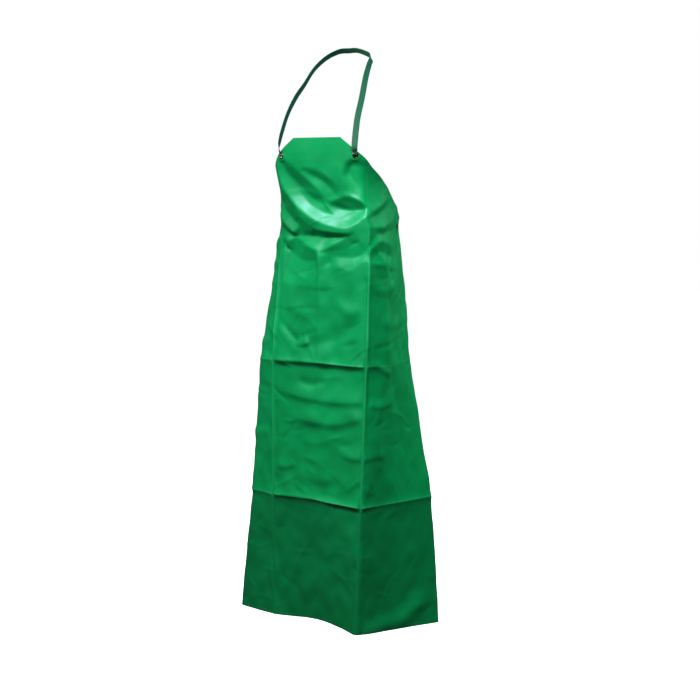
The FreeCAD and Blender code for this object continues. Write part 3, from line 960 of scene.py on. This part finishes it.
def along_curve(values, steps):
    """Catmull-Rom values through each row, with this many steps from each row to the next."""
    p = np.array(values, float)
    p = np.vstack([2 * p[0] - p[1], p, 2 * p[-1] - p[-2]])
    out = []
    for k in range(len(p) - 3):
        a, b, c, d = p[k:k + 4]
        for f in np.arange(steps[k]) / steps[k]:
            out.append(between_points(a, b, c, d, f))
    out.append(p[-2])
    return np.array(out)


def tape_outline(width, thickness, pleat, ribs=5, count=21):
    """Outline of the tape's section: rounded edges, fine ribs, and pleats where it is gathered."""
    a = np.sin(np.linspace(-0.5, 0.5, count) * math.pi)
    half = thickness / 2 * np.sqrt(np.maximum(1 - np.abs(a) ** 10, 0.0))
    rib = 0.05 * np.cos(a * math.pi * 2 * ribs) * (np.abs(a) < 0.93)
    wave = pleat * 0.85 * np.sin(a * math.pi * 1.5 + 0.4)
    top = np.stack([a * width / 2, wave + half + rib], axis=1)
    low = np.stack([a * width / 2, wave - half - rib], axis=1)
    return np.vstack([top, low[::-1][1:-1]])


def swept_tape(name, centres, faces_out, widths, thicknesses, pleats):
    """Tape along a line of centres, with the way its face looks at each."""
    along = np.gradient(centres, axis=0)
    along /= np.linalg.norm(along, axis=1, keepdims=True)
    across = np.cross(faces_out, along)
    across /= np.linalg.norm(across, axis=1, keepdims=True)
    out = np.cross(along, across)
    travelled = lengths_to(centres)
    points, uvs = [], []
    for k in range(len(centres)):
        outline = tape_outline(widths[k], thicknesses[k], pleats[k])
        points.append(centres[k] + outline[:, :1] * across[k] + outline[:, 1:] * out[k])
        uvs.append(np.stack([outline[:, 0] / widths[k] * TAPE_WIDTH * MM,
                             np.full(len(outline), travelled[k] * MM)], axis=1))
    count = len(points[0])
    faces = band_faces(range(len(centres)), count)
    faces.append(list(range(count))[::-1])
    faces.append([(len(centres) - 1) * count + n for n in range(count)])
    return make_mesh(name, np.vstack(points), faces, [tape_cloth], uvs=np.vstack(uvs))


stations = through_eyelet("bib_left") + [(np.array(p, float), np.array(f, float), TAPE_WIDTH, TAPE, 0.0)
                                         for p, f in ROUTE] + through_eyelet("bib_right")[::-1]
flat_stations = [[*c, *f, w, t, g] for c, f, w, t, g in stations]
# the tape narrows over the cloth's edge before the right-hand eyelet
for place, width in ((-4, 7.2), (-5, 8.0), (-6, 10.5), (-7, 14.0)):
    flat_stations[place][6] = width
gaps = [np.linalg.norm(b[0] - a[0]) for a, b in zip(stations, stations[1:])]
line = along_curve(flat_stations, [max(3, round(gap / 2.5)) for gap in gaps])
strap = swept_tape("neck_strap_tape", line[:, :3], line[:, 3:6], *line[:, 6:].T)
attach(strap, "strap")
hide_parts("neck_strap")


def eased(points, times):
    """The same points, each drawn towards its neighbours. The two ends stay."""
    for _ in range(times):
        points[1:-1] = (points[:-2] + 2 * points[1:-1] + points[2:]) / 4
    return points


def knot(name, place):
    """The gathered tape's end tied in an overhand knot behind its eyelet."""
    origin, across, up, out = ring_frame(place)
    t = np.linspace(-0.15, 2 * math.pi - 0.75, 90) + 0.6
    lobes = np.stack([np.sin(t) + 2 * np.sin(2 * t), -np.sin(3 * t), np.cos(t) - 2 * np.cos(2 * t)], axis=1)
    loop = lobes / np.array([2.77, 1.0, 3.0]) * np.array([4.9, 2.5, 4.3])
    centres = origin - out * 7.6 + loop[:, :1] * across + loop[:, 1:2] * out + loop[:, 2:] * up
    lead = np.stack([origin - out * h for h in (1.1, 2.4, 3.6)])
    centres = eased(np.vstack([lead, centres]), 3)
    faces_out = centres - (origin - out * 7.6) + 0.01 * up
    faces_out[:3] = -up
    faces_out = eased(faces_out, 4)
    count = len(centres)
    widths = np.full(count, 5.0)
    widths[:3] = 5.4
    thicknesses, pleats = np.full(count, 1.9), np.full(count, 0.25)
    made = swept_tape(name, centres, faces_out, widths, thicknesses, pleats)
    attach(made, "apron")
    return made


for word in ("left", "right"):
    tied = knot("strap_end_knot_" + word, "bib_" + word)
    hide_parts("strap_knot_" + word)


# ---- stitches

STITCH = 2.6
STITCH_PITCH = 3.6


def stitch_line():
    """Places and directions of the stitches on the left half, from the hem's middle to the top's."""
    vs = np.linspace(WAIST, BIB_SIDE, 24)
    armhole = [(half_width(v), v) for v in vs]
    edge = np.array([(0, 0), (HALF_WIDTH, 0)] + armhole + [(BIB_TOP_HALF_WIDTH, LENGTH), (0, LENGTH)], float)
    run = np.diff(edge, axis=0)
    run /= np.linalg.norm(run, axis=1, keepdims=True)
    inward = np.stack([-run[:, 1], run[:, 0]], axis=1)
    moved = [edge[0] + inward[0] * STITCH_FROM_EDGE]
    for k in range(1, len(edge) - 1):
        both = inward[k - 1] + inward[k]
        moved.append(edge[k] + both * STITCH_FROM_EDGE * 2 / (both @ both))
    moved.append(edge[-1] + inward[-1] * STITCH_FROM_EDGE)
    moved = np.array(moved)
    travelled = lengths_to(moved)
    at = np.arange(STITCH_PITCH / 2, travelled[-1], STITCH_PITCH)
    return [np.stack([np.interp(at + off, travelled, moved[:, k]) for k in (0, 1)], axis=1)
            for off in (-STITCH / 2, STITCH / 2)]


def sewn(name, starts, ends):
    """Small rounded stitches on both faces of the cloth."""
    p0, n0 = on_surface(*starts.T)
    p1, n1 = on_surface(*ends.T)
    points, faces = [], []
    for face_sign, depth in ((1, CLOTH / 2 - 0.1), (-1, CLOTH / 2 + HEM_EXTRA - 0.1)):
        for a, b, na, nb in zip(p0, p1, n0, n1):
            out = (na + nb) / 2 * face_sign
            out /= np.linalg.norm(out)
            along = (b - a) / np.linalg.norm(b - a)
            beside_it = np.cross(out, along)
            middle = (a + b) / 2 + out * depth
            start = len(points)
            half = np.linalg.norm(b - a) / 2
            for t, w, h in ((-0.62, 0.26, 0.24), (0.0, 0.3, 0.34), (0.62, 0.26, 0.24)):
                for s, up in ((-1, -0.15), (-0.62, 0.75), (0.62, 0.75), (1, -0.15)):
                    points.append(middle + along * (t * half) + beside_it * (s * w) + out * (up * h))
            points.append(middle - along * half - out * 0.05)
            points.append(middle + along * half - out * 0.05)
            for r in (start, start + 4):
                for k in range(4):
                    m = (k + 1) % 4
                    faces.append([r + k, r + 4 + k, r + 4 + m, r + m])
            for k in range(4):
                m = (k + 1) % 4
                faces.append([start + 12, start + k, start + m])
                faces.append([start + 13, start + 8 + m, start + 8 + k])
    return make_mesh(name, np.array(points), faces, [thread])


half_starts, half_ends = stitch_line()
mirror = np.array([-1.0, 1.0])
starts = np.vstack([half_starts, half_starts * mirror])
ends = np.vstack([half_ends, half_ends * mirror])
columns_of = np.stack([to_c(*starts.T), to_c(*ends.T)])
in_front = (np.abs(columns_of) < CREASE).all(axis=0)
in_left = (columns_of > CREASE).all(axis=0)
in_right = (columns_of < -CREASE).all(axis=0)
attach(sewn("stitches_front", starts[in_front], ends[in_front]), "apron")
for word, body, chosen in (("left", "left_panel", in_left), ("right", "right_panel", in_right)):
    row = sewn("stitches_side_" + word, starts[chosen], ends[chosen])
    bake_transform(row)


look((1.739, -3.455, -0.364), -5.9, 27)
set_stage()
